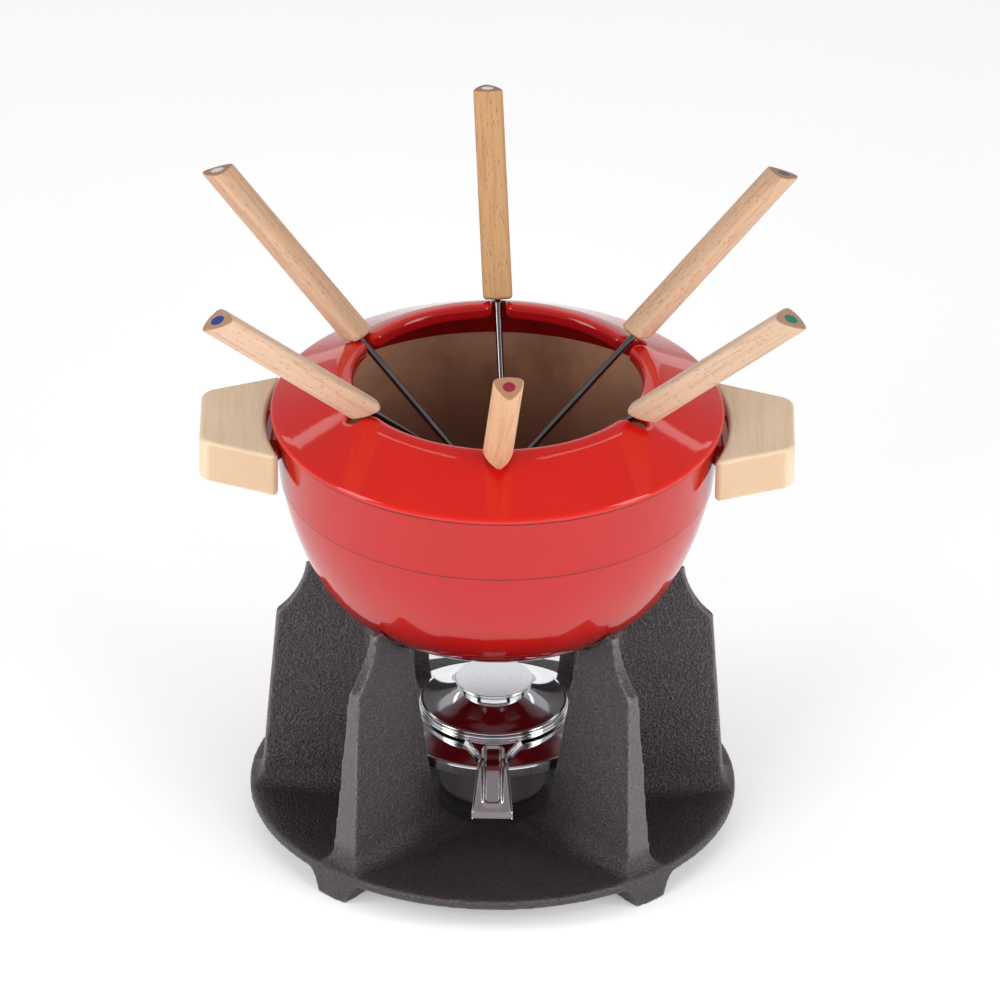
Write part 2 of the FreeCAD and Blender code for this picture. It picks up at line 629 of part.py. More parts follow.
def snuffer_bell():
    """Flared pressed lid with a short neck."""
    rim_r, rim_z = BELL_RIM
    lip = BELL_LIP_R
    upper = [(r, z + SHEET) for r, z in BELL_SIDE]
    low, high = BELL_SIDE[-1][1], CAP_Z[0]
    neck_foot, neck_head = (NECK_R, low + SHEET + lip), (NECK_R + NECK_FLARE, high)
    edges = [arc((rim_r, rim_z), (rim_r + lip, rim_z + lip), (rim_r, rim_z + 2 * lip)),
             curve(upper), curve(BELL_SIDE[::-1])]
    edges += lines((rim_r, rim_z + 2 * lip), upper[0])
    edges += lines(upper[-1], neck_foot, neck_head, (0, high), (0, high - SHEET),
                   (neck_head[0] - SHEET, high - SHEET), (neck_foot[0] - SHEET, low), BELL_SIDE[-1])
    edges += lines(BELL_SIDE[0], (rim_r - SHEET, rim_z), (rim_r, rim_z))
    bell = turned(edges)
    return one_solid(bell.cut(cylinder(STUD_R, high - 2 * SHEET, high + SHEET)))


def snuffer_cap():
    """Round knob plate with the stud that rivets it to the bell."""
    low, high = CAP_Z
    cap = cylinder(CAP_R, low, high)
    cap = cap.makeFillet(CAP_EDGE_R, [e for e in cap.Edges if e.BoundBox.ZMin > high - 0.01])
    return one_solid(cap.fuse(cylinder(STUD_R, low - STUD_LENGTH, low)))


# ---- the set ---------------------------------------------------------------------------------
def build():
    nodes = {
        "stand_casting": stand_casting(),
        "pot_bowl": pot_bowl(),
        "pot_handle_left": pot_handle(-1),
        "pot_handle_right": pot_handle(1),
        "handle_screws": handle_screws(),
        "guard_ring": guard_ring(),
        "burner_cup": burner_cup(),
        "burner_tray": burner_tray(),
        "fuel_insert": fuel_insert(),
        "fuel_wadding": fuel_wadding(),
        "burner_gauze": burner_gauze(),
        "burner_throat": burner_throat(),
        "regulator_ring": regulator_ring(),
        "regulator_lever": regulator_lever(),
        "snuffer_bell": snuffer_bell(),
        "snuffer_cap": snuffer_cap(),
    }
    pieces = {"handle": fork_handle(), "inlay": fork_inlay(), "shaft": fork_shaft()}
    for name, azimuth, start, rise, turn_out in FORKS:
        place = fork_placement(azimuth, start, rise, turn_out)
        for piece, shape in pieces.items():
            placed = shape.copy()
            placed.Placement = place.multiply(placed.Placement)
            nodes[f"fork_{name}_{piece}"] = placed
    return nodes


os.makedirs("parts", exist_ok=True)
for node, shape in build().items():
    shape.exportStep(f"parts/{node}.step")
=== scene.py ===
"""Looks of the fondue pot set: enamel, iron, wood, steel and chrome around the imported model.

Metres, in the model's own frame: +Z up, front towards -Y, origin on the table under the pot.
"""
import json
import math

import bpy
import numpy as np
from mathutils import Matrix, Vector, noise


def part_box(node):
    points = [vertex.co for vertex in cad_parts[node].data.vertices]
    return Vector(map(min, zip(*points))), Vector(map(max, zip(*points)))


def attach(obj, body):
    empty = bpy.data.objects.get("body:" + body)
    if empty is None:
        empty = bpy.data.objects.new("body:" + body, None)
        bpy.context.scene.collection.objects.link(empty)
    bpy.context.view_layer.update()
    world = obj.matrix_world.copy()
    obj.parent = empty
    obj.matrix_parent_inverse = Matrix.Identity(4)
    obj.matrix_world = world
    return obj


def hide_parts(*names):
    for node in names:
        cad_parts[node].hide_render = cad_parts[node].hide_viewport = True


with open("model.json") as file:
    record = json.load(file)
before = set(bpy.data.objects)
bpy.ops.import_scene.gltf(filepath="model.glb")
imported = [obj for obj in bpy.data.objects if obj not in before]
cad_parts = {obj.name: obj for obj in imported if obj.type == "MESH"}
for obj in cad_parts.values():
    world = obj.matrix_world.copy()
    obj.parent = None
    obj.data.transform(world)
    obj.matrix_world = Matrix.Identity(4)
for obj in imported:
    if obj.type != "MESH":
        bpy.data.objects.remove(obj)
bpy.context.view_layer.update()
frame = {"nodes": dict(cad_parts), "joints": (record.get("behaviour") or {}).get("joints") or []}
nodes = frame["nodes"]

MM = 0.001

# ---- splash guard, millimetres -------------------------------------------------------------------
LIP_R = 70.0
LIP_Z = 234.8
CREST = (72.8, 241.7)
SLOPE_END = (80.0, 239.9)
EDGE = (108.6, 224.9)
BRIM = ((109.2, 224.5), (109.7, 223.9))    # rounds the slope's end into the outer wall
GUARD_R = 110.0
WALL_TOP_Z = 223.0
SEAT_Z = 221.8
SEAT_MIDDLE_R = 106.5
SEAT_BEVEL = 0.5
SHEET = 3.0
SKIRT = (100.8, 103.2)
SKIRT_Z = 210.2
SKIRT_KNEES_Z = (216.0, 218.0)    # outer and inner height where the skirt turns straight
SKIRT_FILLET = 1.2
NOTCH_HALF = 3.4
NOTCH_R = 79.0
CORNER_R = 5.0
NOTCH_AZIMUTHS = range(0, 360, 60)
SECTOR_HALF = math.pi / len(NOTCH_AZIMUTHS)
LIP_SHARE_AT_NOTCH = 0.55    # how much of the lip's depth is left where a notch begins
ROLL_R = (1.7, 1.1)          # radius of the rolled edge in a notch, and what the lip adds to it
BEAD_R = (1.1, 0.4)          # the same for the lip's lower bead
NOTCH_DEPTH = 4.2            # height of the metal round a notch
LIP_FILLET = (1.5, 0.6, 0.2)    # plan reach and the two drops where the lip leaves the underside
LIP_STEPS, CORNER_STEPS, NOTCH_STEPS, NOTCH_END_STEPS = 18, 12, 6, 8
ROLL_STEPS, SLOPE_STEPS, SKIRT_STEPS, UNDER_STEPS, BEAD_STEPS = 7, 12, 6, 7, 8

# ---- burner lever, millimetres -------------------------------------------------------------------
WEB_R, WEB_HALF = 34.6, 15.4      # where the web leaves the regulator's ring
NECK_R, NECK_HALF = 49.0, 7.0
TIP_R, TIP_HALF = 72.0, 10.2
WEB_FLARE = 1.25
LEVER_START_R = 35.9
WEB_Z, BEND, TIP_Z = 58.3, (53.2, 55.2), 37.2    # BEND is a radius and a height
BEND_SOFTNESS = 1.1
LEVER_SHEET = 1.0
FRAME_MIDDLE_R = 54.6
FRAME_HALF = (4.3, 13.8)
FRAME_CORNER_R = 2.2
BEAD_HEIGHT, BEAD_HALF = 1.25, 1.35
PAN_DEPTH, PAN_RUN = 0.25, 1.2
FLANGE_DEPTH, WEB_FLANGE_EXTRA = 0.7, 1.7
FLANGE_FADE = (43.0, 49.0)
FLANGE_ROLL = 1.1
RIDGE_HEIGHT, RIDGE_INSET, RIDGE_HALF = 0.35, 1.3, 0.5
TIP_DROP, TIP_DROP_START = 1.8, 70.6
TIP_CORNER_ROWS, TIP_CORNER_DRAW = 8, 0.02
LEVER_ACROSS, LEVER_ALONG = 72, 150

# ---- stand, metres -------------------------------------------------------------------------------
STAND_VOXEL = 0.0012
STAND_SMOOTHING = 5
WAVE_SCALE = 70.0
WAVE_HEIGHT = 0.00012

# ---- pot and guard enamel, metres ----------------------------------------------------------------
BOWL_INNER_R = 0.10525
BOWL_FLOOR_Z = 0.114
BARE_RIM_Z = 0.2209
SEAM_Z = 0.1884
UNDERSIDE_R = 0.1045
UNDERSIDE_Z = 0.2216

# ---- forks ---------------------------------------------------------------------------------------
FORKS = ("back", "back_left", "back_right", "front_left", "front_right", "front")

# ---- camera --------------------------------------------------------------------------------------
CAMERA_AIM = Vector((0.0018, 0.0, 0.1729))
CAMERA_ELEVATION = 29.586
CAMERA_ROLL = 0.751
CAMERA_DISTANCE = 6.0
CAMERA_LENS = 444.1


# ---- materials -----------------------------------------------------------------------------------
def rgb(red, green, blue):
    """Linear colour from display values of 0 to 255."""
    def linear(value):
        value /= 255.0
        return value / 12.92 if value <= 0.04045 else ((value + 0.055) / 1.055) ** 2.4
    return (linear(red), linear(green), linear(blue), 1.0)


class Graph:
    """One material's nodes, built from short calls."""

    def __init__(self, name, **sockets):
        self.material = bpy.data.materials.new(name)
        self.material.use_nodes = True
        self.tree = self.material.node_tree
        self.tree.nodes.clear()
        output = self.node("ShaderNodeOutputMaterial")
        self.shader = self.node("ShaderNodeBsdfPrincipled")
        self.tree.links.new(self.shader.outputs[0], output.inputs[0])
        coords = self.node("ShaderNodeTexCoord")
        self.place = coords.outputs["Object"]
        self.facing = coords.outputs["Normal"]
        self.set(**sockets)

    def node(self, kind, **settings):
        made = self.tree.nodes.new(kind)
        for key, value in settings.items():
            setattr(made, key, value)
        return made

    def feed(self, socket, value):
        if isinstance(value, bpy.types.NodeSocket):
            self.tree.links.new(value, socket)
        else:
            socket.default_value = value

    def set(self, **sockets):
        """Values or links for the shader, with _ for each blank in a socket's name."""
        for key, value in sockets.items():
            self.feed(self.shader.inputs[key.replace("_", " ")], value)

    def math(self, operation, a, b=0.0):
        made = self.node("ShaderNodeMath", operation=operation)
        self.feed(made.inputs[0], a)
        self.feed(made.inputs[1], b)
        return made.outputs[0]

    def times(self, first, *others):
        product = first
        for other in others:
            product = self.math("MULTIPLY", product, other)
        return product

    def add(self, first, *others):
        total = first
        for other in others:
            total = self.math("ADD", total, other)
        return total

    def dot(self, vector, direction):
        made = self.node("ShaderNodeVectorMath", operation="DOT_PRODUCT")
        self.feed(made.inputs[0], vector)
        self.feed(made.inputs[1], direction)
        return made.outputs["Value"]

    def split(self, vector):
        made = self.node("ShaderNodeSeparateXYZ")
        self.feed(made.inputs[0], vector)
        return made.outputs

    def join(self, x, y, z):
        made = self.node("ShaderNodeCombineXYZ")
        for socket, value in zip(made.inputs, (x, y, z)):
            self.feed(socket, value)
        return made.outputs[0]

    def stretch(self, vector, scale):
        made = self.node("ShaderNodeMapping")
        self.feed(made.inputs["Vector"], vector)
        made.inputs["Scale"].default_value = scale
        return made.outputs[0]

    def span(self, value, low, high, out_low=0.0, out_high=1.0):
        """Value carried from one range to another, clamped."""
        made = self.node("ShaderNodeMapRange", interpolation_type="SMOOTHSTEP")
        for socket, item in zip(made.inputs, (value, low, high, out_low, out_high)):
            self.feed(socket, item)
        return made.outputs[0]

    def noise(self, vector, scale, detail=3.0, rough=0.5, warp=0.0):
        made = self.node("ShaderNodeTexNoise")
        self.feed(made.inputs["Vector"], vector)
        made.inputs["Scale"].default_value = scale
        made.inputs["Detail"].default_value = detail
        made.inputs["Roughness"].default_value = rough
        made.inputs["Distortion"].default_value = warp
        return made.outputs["Fac"]

    def cells(self, vector, scale):
        made = self.node("ShaderNodeTexVoronoi")
        self.feed(made.inputs["Vector"], vector)
        made.inputs["Scale"].default_value = scale
        return made.outputs["Distance"]

    def mix(self, factor, a, b):
        made = self.node("ShaderNodeMix", data_type="RGBA")
        self.feed(made.inputs[0], factor)
        self.feed(made.inputs[6], a)
        self.feed(made.inputs[7], b)
        return made.outputs[2]

    def bump(self, height, depth):
        """Shading normal of a height of 0 to 1 that is depth metres tall."""
        made = self.node("ShaderNodeBump")
        made.inputs["Distance"].default_value = depth
        self.feed(made.inputs["Height"], height)
        return made.outputs[0]

    def radius(self):
        """Distance from the set's axis."""
        x, y, _ = self.split(self.place)
        return self.math("SQRT", self.add(self.times(x, x), self.times(y, y)))

    def outward(self):
        """How far the surface faces away from the set's axis: 1 outward, -1 inward."""
        x, y, _ = self.split(self.place)
        nx, ny, _ = self.split(self.facing)
        reach = self.add(self.times(x, nx), self.times(y, ny))
        return self.math("DIVIDE", reach, self.math("MAXIMUM", self.radius(), MM))


def iron_material():
    """Pebbled charcoal cast iron, paler on its worn edges, with a painted sheen on the outer faces of the
    fins and painted shade low down by the table.
    """
    g = Graph("iron", Specular_IOR_Level=0.6)
    z = g.split(g.place)[2]
    grit = g.noise(g.place, 1350.0, 2.0, 0.6)
    lumps = g.noise(g.place, 760.0, 1.0, 0.5)
    clouds = g.noise(g.place, 26.0, 4.0, 0.6)
    colour = g.mix(clouds, rgb(50, 44, 46), rgb(60, 54, 56))
    colour = g.mix(g.span(grit, 0.5, 0.6, 0.0, 0.6), colour, rgb(104, 98, 100))
    colour = g.mix(g.span(lumps, 0.36, 0.52, 0.5, 0.0), colour, rgb(26, 21, 23))
    point = g.node("ShaderNodeNewGeometry").outputs["Pointiness"]
    worn = g.times(g.span(point, 0.512, 0.575), g.span(grit, 0.35, 0.6, 0.5, 1.0))
    colour = g.mix(worn, colour, rgb(138, 132, 134))
    # Painted highlight: the outer faces of the fins, above the base's rim, are made paler to stand in for
    # their sheen.
    painted_fin_sheen = g.times(g.span(g.outward(), 0.8, 0.97, 0.0, 0.45), g.span(z, 0.02, 0.03))
    colour = g.mix(painted_fin_sheen, colour, rgb(104, 98, 100))
    # Painted shade: the iron is darkened towards the table, below about 32 mm.
    colour = g.mix(g.span(z, 0.014, 0.032, 0.5, 0.0), colour, rgb(28, 22, 24))
    height = g.add(g.times(grit, 0.4), g.times(lumps, 0.6))
    rough = g.span(clouds, 0.3, 0.7, 0.36, 0.48)
    g.set(Base_Color=colour, Roughness=rough, Normal=g.bump(height, 0.0011))
    return g.material


def enamel(g, bright, deep):
    """Glossy glass enamel: colour that pools a little, with a faint orange peel."""
    drift = g.noise(g.place, 16.0, 3.0, 0.5)
    peel = g.noise(g.place, 190.0, 1.0, 0.4)
    swell = g.noise(g.place, 34.0, 1.0, 0.4)
    height = g.add(g.times(peel, 0.12), swell)
    return g.mix(drift, bright, deep), g.bump(height, 0.00016)


def bowl_material():
    """Red outside, brown satin enamel inside and a bare dark rim, with painted shade towards the bottom
    outside and towards the floor inside.
    """
    g = Graph("bowl_enamel", IOR=1.5)
    z = g.split(g.place)[2]
    facing_up = g.split(g.facing)[2]
    inside = g.times(g.math("LESS_THAN", g.outward(), 0.02), g.math("LESS_THAN", g.radius(), BOWL_INNER_R),
                     g.math("GREATER_THAN", facing_up, -0.3), g.math("GREATER_THAN", z, BOWL_FLOOR_Z))
    rim = g.math("GREATER_THAN", g.add(z, g.times(g.noise(g.place, 300.0, 2.0), 0.0006)), BARE_RIM_Z)

    mottle = g.noise(g.place, 55.0, 4.0, 0.65)
    # Painted shade: the brown inside is darkened from the rim down towards the floor of the bowl.
    brown = g.mix(g.span(z, 0.125, 0.215), rgb(124, 68, 54), rgb(196, 148, 118))
    brown = g.mix(g.span(mottle, 0.4, 0.7, 0.0, 0.4), brown, rgb(138, 92, 74))

    red, skin = enamel(g, rgb(180, 24, 16), rgb(168, 16, 12))
    # Painted shade: the outer red is darkened towards the bottom of the bowl, with a wavy edge.
    painted_shade_height = g.add(z, g.times(g.noise(g.place, 60.0, 2.0), 0.004))
    red = g.mix(g.span(painted_shade_height, 0.124, 0.158, 0.85, 0.0), red, rgb(84, 6, 14))
    off_seam = g.math("ABSOLUTE", g.math("SUBTRACT", z, SEAM_Z))
    red = g.mix(g.span(off_seam, 0.0002, 0.0007, 0.95, 0.0), red, rgb(84, 8, 8))

    colour = g.mix(rim, g.mix(inside, red, brown), rgb(58, 30, 28))
    rough = g.math("MAXIMUM", g.times(inside, g.span(mottle, 0.35, 0.7, 0.3, 0.42)), g.times(rim, 0.6))
    g.set(Base_Color=colour, Roughness=g.math("MAXIMUM", rough, 0.07), Normal=skin)
    return g.material


def guard_material():
    """Red enamel, with painted shade where the lip faces the pot's mouth and on the hidden underside."""
    g = Graph("guard_enamel", Roughness=0.06, IOR=1.5)
    red, skin = enamel(g, rgb(204, 28, 14), rgb(190, 18, 12))
    z = g.split(g.place)[2]
    # Painted shade: faces of the lip that look into the pot's mouth are darkened.
    red = g.mix(g.span(g.outward(), -0.85, -0.35, 0.75, 0.0), red, rgb(132, 8, 16))
    # Painted shade: the hidden underside of the guard is darkened.
    under = g.times(g.math("LESS_THAN", z, UNDERSIDE_Z), g.math("LESS_THAN", g.radius(), UNDERSIDE_R))
    g.set(Base_Color=g.mix(g.times(under, 0.55), red, rgb(120, 12, 16)), Normal=skin)
    return g.material


def wood(g, along, across_1, across_2, cut, tones, fleck_size, fleck_depth, streak):
    """Close-grained wood: along runs with the grain, cut is 1 on end grain."""
    pale, mid, dark = tones
    flow = g.join(across_1, across_2, g.times(along, 0.06))
    bands = g.noise(flow, 420.0, 3.0, 0.6, 0.4)
    broad = g.noise(flow, 60.0, 2.0, 0.5, 0.6)
    fibre = g.noise(g.join(across_1, across_2, g.times(along, 0.05)), 2400.0, 2.0, 0.6)
    colour = g.mix(g.span(broad, 0.35, 0.68), pale, mid)
    colour = g.mix(g.span(bands, 0.45, 0.7, 0.0, streak), colour, dark)
    colour = g.mix(g.span(fibre, 0.42, 0.62, 0.0, 0.3), colour, mid)
    dashes = g.join(across_1, across_2, g.times(along, 0.2))
    fleck = g.span(g.cells(dashes, fleck_size), 0.14, 0.3, 1.0, 0.0)
    fleck = g.times(fleck, g.span(g.noise(dashes, fleck_size * 0.5, 1.0), 0.4, 0.55))
    colour = g.mix(g.times(fleck, fleck_depth), colour, dark)
    colour = g.mix(g.times(cut, 0.75), colour, dark)
    height = g.add(g.times(fibre, 0.5), g.times(bands, 0.3), g.times(fleck, -0.4))
    rough = g.span(fibre, 0.3, 0.7, 0.46, 0.62)
    g.set(Base_Color=colour, Roughness=rough, Normal=g.bump(height, 0.00016))
    return g.material


MAPLE = (rgb(226, 202, 172), rgb(218, 191, 160), rgb(192, 160, 128))


def grip_material():
    """Pale maple whose grain runs from the grip's front to its back."""
    g = Graph("grip_maple", Specular_IOR_Level=0.35)
    x, y, z = g.split(g.place)
    cut = g.span(g.math("ABSOLUTE", g.split(g.facing)[1]), 0.75, 0.95)
    return wood(g, y, x, z, cut, MAPLE, fleck_size=900.0, fleck_depth=0.25, streak=0.25)


def fork_frame(name):
    """A fork's own axes and middle: across, flat side, along and the centre of its inlay."""
    joint = next(j for j in frame["joints"] if j["child"] == "fork_" + name)
    along = Vector(joint["axis"]).normalized()
    flat = (Vector((0, 0, 1)) - along * along.z).normalized()
    low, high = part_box(f"fork_{name}_inlay")
    return flat.cross(along), flat, along, (low + high) / 2


def local(g, across, flat, along, middle):
    """Distances from the middle along a fork's three axes."""
    return [g.math("SUBTRACT", g.dot(g.place, axis), axis.dot(middle)) for axis in (across, flat, along)]


GRAIN_SHIFT = 0.37
BEECH = {
    "back": (rgb(194, 152, 108), rgb(184, 138, 94), rgb(142, 96, 62)),
    "back_left": (rgb(204, 168, 138), rgb(192, 152, 120), rgb(148, 106, 78)),
    "back_right": (rgb(204, 168, 138), rgb(192, 152, 120), rgb(148, 106, 78)),
    "front_left": (rgb(216, 186, 162), rgb(205, 172, 144), rgb(160, 120, 92)),
    "front_right": (rgb(208, 180, 156), rgb(198, 166, 138), rgb(154, 116, 90)),
    "front": (rgb(216, 176, 138), rgb(204, 160, 122), rgb(160, 114, 84)),
}


def fork_wood_material(name):
    """Oiled beech along the fork, with another piece of the grain for each fork."""
    g = Graph(f"beech_{name}", Specular_IOR_Level=0.35)
    across, flat, along, middle = fork_frame(name)
    u, v, w = local(g, across, flat, along, middle)
    cut = g.span(g.math("ABSOLUTE", g.dot(g.facing, along)), 0.6, 0.8)
    place_in_grain = g.add(w, GRAIN_SHIFT * FORKS.index(name))
    return wood(g, place_in_grain, u, v, cut, BEECH[name], fleck_size=1100.0, fleck_depth=0.9, streak=0.4)


def fork_steel_material(name):
    """Drawn steel with hairlines along the shaft."""
    g = Graph(f"fork_steel_{name}", Metallic=1.0)
    across, flat, along, middle = fork_frame(name)
    u, v, w = local(g, across, flat, along, middle)
    draw = g.noise(g.join(u, v, g.times(w, 0.01)), 2600.0, 2.0, 0.6)
    smudge = g.noise(g.place, 90.0, 3.0)
    g.set(Base_Color=g.mix(smudge, rgb(118, 113, 115), rgb(146, 142, 144)),
          Roughness=g.span(draw, 0.3, 0.7, 0.08, 0.16), Normal=g.bump(draw, 0.00001))
    return g.material


def inlay_material(name, colour, dark):
    """Speckled plastic."""
    g = Graph(f"inlay_{name}", Specular_IOR_Level=0.4)
    speck = g.noise(g.place, 1400.0, 3.0, 0.6)
    g.set(Base_Color=g.mix(g.span(speck, 0.35, 0.7), colour, dark),
          Roughness=g.span(speck, 0.3, 0.7, 0.35, 0.5), Normal=g.bump(speck, 0.00006))
    return g.material


def polished(name, dull, bright, rough, smudged, metal=1.0):
    """Bright plated or bare metal with faint smears and hairline scratches."""
    g = Graph(name, Metallic=metal)
    smear = g.noise(g.place, 70.0, 4.0, 0.6, 0.8)
    hair = g.noise(g.stretch(g.place, (1.0, 0.08, 1.0)), 3200.0, 2.0, 0.6)
    g.set(Base_Color=g.mix(smear, dull, bright), Roughness=g.span(smear, 0.35, 0.75, rough, smudged),
          Normal=g.bump(hair, 0.00001))
    return g.material


def spun(name, dull, bright, rough, depth):
    """Metal turned about the set's axis, with fine rings."""
    g = Graph(name, Metallic=1.0)
    z = g.split(g.place)[2]
    rings = g.noise(g.join(g.radius(), 0.0, z), 2400.0, 3.0, 0.7)
    smear = g.noise(g.place, 60.0, 3.0, 0.6)
    g.set(Base_Color=g.mix(smear, dull, bright), Roughness=g.span(rings, 0.3, 0.7, rough, rough + 0.14),
          Normal=g.bump(rings, depth))
    return g.material


def wadding_material():
    """Off-white mineral wool."""
    g = Graph("fuel_wadding", Roughness=0.95, Specular_IOR_Level=0.1)
    fluff = g.noise(g.place, 700.0, 5.0, 0.7, 1.5)
    tufts = g.noise(g.place, 120.0, 3.0, 0.6)
    colour = g.mix(fluff, rgb(196, 188, 172), rgb(240, 236, 226))
    g.set(Base_Color=g.mix(g.span(tufts, 0.5, 0.7, 0.0, 0.4), colour, rgb(170, 158, 140)),
          Normal=g.bump(fluff, 0.0006))
    return g.material


# ---- mesh helpers --------------------------------------------------------------------------------
def add_object(name, mesh):
    made = bpy.data.objects.new(name, mesh)
    bpy.context.scene.collection.objects.link(made)
    return made


def smooth(mesh, angle):
    """Shades a mesh smooth, but for edges sharper than the angle in degrees."""
    mesh.polygons.foreach_set("use_smooth", [True] * len(mesh.polygons))
    mesh.set_sharp_from_angle(angle=math.radians(angle))


def baked(made):
    """Replaces an object's mesh with the result of its modifiers."""
    bpy.context.view_layer.update()
    graph = bpy.context.evaluated_depsgraph_get()
    mesh = bpy.data.meshes.new_from_object(made.evaluated_get(graph))
    made.modifiers.clear()
    made.data = mesh


# ---- splash guard --------------------------------------------------------------------------------
def surface_z(radius):
    """Height of the guard's top at a radius."""
    fall = math.atan2(SLOPE_END[1] - EDGE[1], EDGE[0] - SLOPE_END[0])
    crown = (SLOPE_END[0] - CREST[0]) / math.sin(fall)
    if radius <= CREST[0]:
        return CREST[1]
    if radius < SLOPE_END[0]:
        return CREST[1] - crown + math.sqrt(crown ** 2 - (radius - CREST[0]) ** 2)
    return SLOPE_END[1] - (radius - SLOPE_END[0]) * math.tan(fall)


def mouth_path():
    """One sixth of the mouth: plan points, normals into the metal, and how deep the lip is there."""
    corner_y = NOTCH_HALF + CORNER_R
    corner_x = math.sqrt((LIP_R + CORNER_R) ** 2 - corner_y ** 2)
    meet = math.atan2(corner_y, corner_x)
    half = []
    for i in range(LIP_STEPS):
        angle = SECTOR_HALF + (meet - SECTOR_HALF) * i / LIP_STEPS
        out = (math.cos(angle), math.sin(angle))
        half.append(((LIP_R * out[0], LIP_R * out[1]), out, 1.0))
    start, end = meet + math.pi, 1.5 * math.pi
    for i in range(CORNER_STEPS + 1):
        part = i / CORNER_STEPS
        angle = start + (end - start) * part
        out = (math.cos(angle), math.sin(angle))
        point = (corner_x + CORNER_R * out[0], corner_y + CORNER_R * out[1])
        half.append((point, (-out[0], -out[1]), 1.0 - (1.0 - LIP_SHARE_AT_NOTCH) * part ** 2))
    for i in range(1, NOTCH_STEPS + 1):
        part = i / NOTCH_STEPS
        point = (corner_x + (NOTCH_R - corner_x) * part, NOTCH_HALF)
        half.append((point, (0.0, 1.0), LIP_SHARE_AT_NOTCH * (1.0 - part)))
    for i in range(1, NOTCH_END_STEPS + 1):
        angle = math.pi / 2 * (1 - i / NOTCH_END_STEPS)
        out = (math.cos(angle), math.sin(angle))
        half.append(((NOTCH_R + NOTCH_HALF * out[0], NOTCH_HALF * out[1]), out, 0.0))
    mirrored = [((p[0], -p[1]), (n[0], -n[1]), depth) for p, n, depth in half[:-1]]
    return mirrored[1:] + half[::-1]


def guard_section(point, normal, depth):
    """Closed loop of (plan x, plan y, z) round the sheet where it leaves one point of the mouth."""
    roll = ROLL_R[0] + ROLL_R[1] * depth
    bead = BEAD_R[0] + BEAD_R[1] * depth
    here = math.hypot(*point)
    lip_depth = surface_z(LIP_R) - LIP_Z
    low = surface_z(here) - (NOTCH_DEPTH + (lip_depth - NOTCH_DEPTH) * depth)

    def near(inward, z_of):
        x, y = point[0] + normal[0] * inward, point[1] + normal[1] * inward
        return (x, y, z_of(math.hypot(x, y)))

    loop = []
    for i in range(ROLL_STEPS + 1):
        angle = math.pi / 2 * i / ROLL_STEPS
        down = roll * (1 - math.sin(angle))
        loop.append(near(roll * (1 - math.cos(angle)), lambda r: surface_z(r) - down))
    x, y, _ = loop[-1]
    first, heading = math.hypot(x, y), math.atan2(y, x)

    def ring(radius, z):
        return (radius * math.cos(heading), radius * math.sin(heading), z)

    for i in range(1, SLOPE_STEPS + 1):
        radius = first + (EDGE[0] - first) * i / SLOPE_STEPS
        loop.append(ring(radius, surface_z(radius)))
    loop += [ring(*corner) for corner in BRIM]
    loop += [ring(GUARD_R, WALL_TOP_Z), ring(GUARD_R, SEAT_Z), ring(SEAT_MIDDLE_R, SEAT_Z),
             ring(SKIRT[1] + SEAT_BEVEL, SEAT_Z), ring(SKIRT[1], SEAT_Z - SEAT_BEVEL)]
    loop.append(ring(SKIRT[1], SKIRT_KNEES_Z[0]))
    round_r = (SKIRT[1] - SKIRT[0]) / 2
    for i in range(SKIRT_STEPS + 1):
        angle = math.pi * i / SKIRT_STEPS
        loop.append(ring(SKIRT[0] + round_r * (1 + math.cos(angle)),
                         SKIRT_Z + round_r * (1 - math.sin(angle))))
    loop.append(ring(SKIRT[0], SKIRT_KNEES_Z[1]))
    loop.append(ring(SKIRT[0], surface_z(SKIRT[0]) - SHEET - SKIRT_FILLET))
    reach, drop, gap = LIP_FILLET
    back = near(2 * bead, lambda r: 0.0)
    last = max(math.hypot(back[0], back[1]) + reach, first)
    for i in range(1, UNDER_STEPS + 1):
        radius = SKIRT[0] + (last - SKIRT[0]) * i / UNDER_STEPS
        loop.append(ring(radius, surface_z(radius) - SHEET))
    loop.append(near(2 * bead, lambda r: max(surface_z(r) - SHEET - drop, low + bead + gap)))
    for i in range(BEAD_STEPS + 1):
        angle = math.pi * i / BEAD_STEPS
        loop.append(near(bead * (1 + math.cos(angle)), lambda r: low + bead * (1 - math.sin(angle))))
    loop.append(near(0.0, lambda r: (low + bead + surface_z(here) - roll) / 2))
    return loop


def guard_shell():
    """Splash guard as one pressed sheet with a rolled mouth, six notches and a hanging skirt."""
    path = mouth_path()
    points, columns = [], 0
    for azimuth in NOTCH_AZIMUTHS:
        turn = math.radians(azimuth - 90)
        cos, sin = math.cos(turn), math.sin(turn)
        for point, normal, depth in path:
            for x, y, z in guard_section(point, normal, depth):
                points.append(((x * cos - y * sin) * MM, (x * sin + y * cos) * MM, z * MM))
            columns += 1
    rows = len(points) // columns
    faces = []
    for i in range(columns):
        j = (i + 1) % columns
        for k in range(rows):
            m = (k + 1) % rows
            faces.append((i * rows + k, j * rows + k, j * rows + m, i * rows + m))
    mesh = bpy.data.meshes.new("guard_shell")
    mesh.from_pydata(points, [], faces)
    mesh.validate()
    smooth(mesh, 50.0)
    return add_object("guard_shell", mesh)


# ---- burner lever --------------------------------------------------------------------------------
def smoothstep(value, low, high):
    """0 below low, 1 above high and an even S between them."""
    t = min(max((value - low) / (high - low), 0.0), 1.0)
    return t * t * (3 - 2 * t)


def lever_half(radius):
    """Half the lever's width at a radius: a web that narrows to a neck, then a spreading tongue."""
    if radius < NECK_R:
        return NECK_HALF + (WEB_HALF - NECK_HALF) * ((NECK_R - radius) / (NECK_R - WEB_R)) ** WEB_FLARE
    return NECK_HALF + (TIP_HALF - NECK_HALF) * (radius - NECK_R) / (TIP_R - NECK_R)


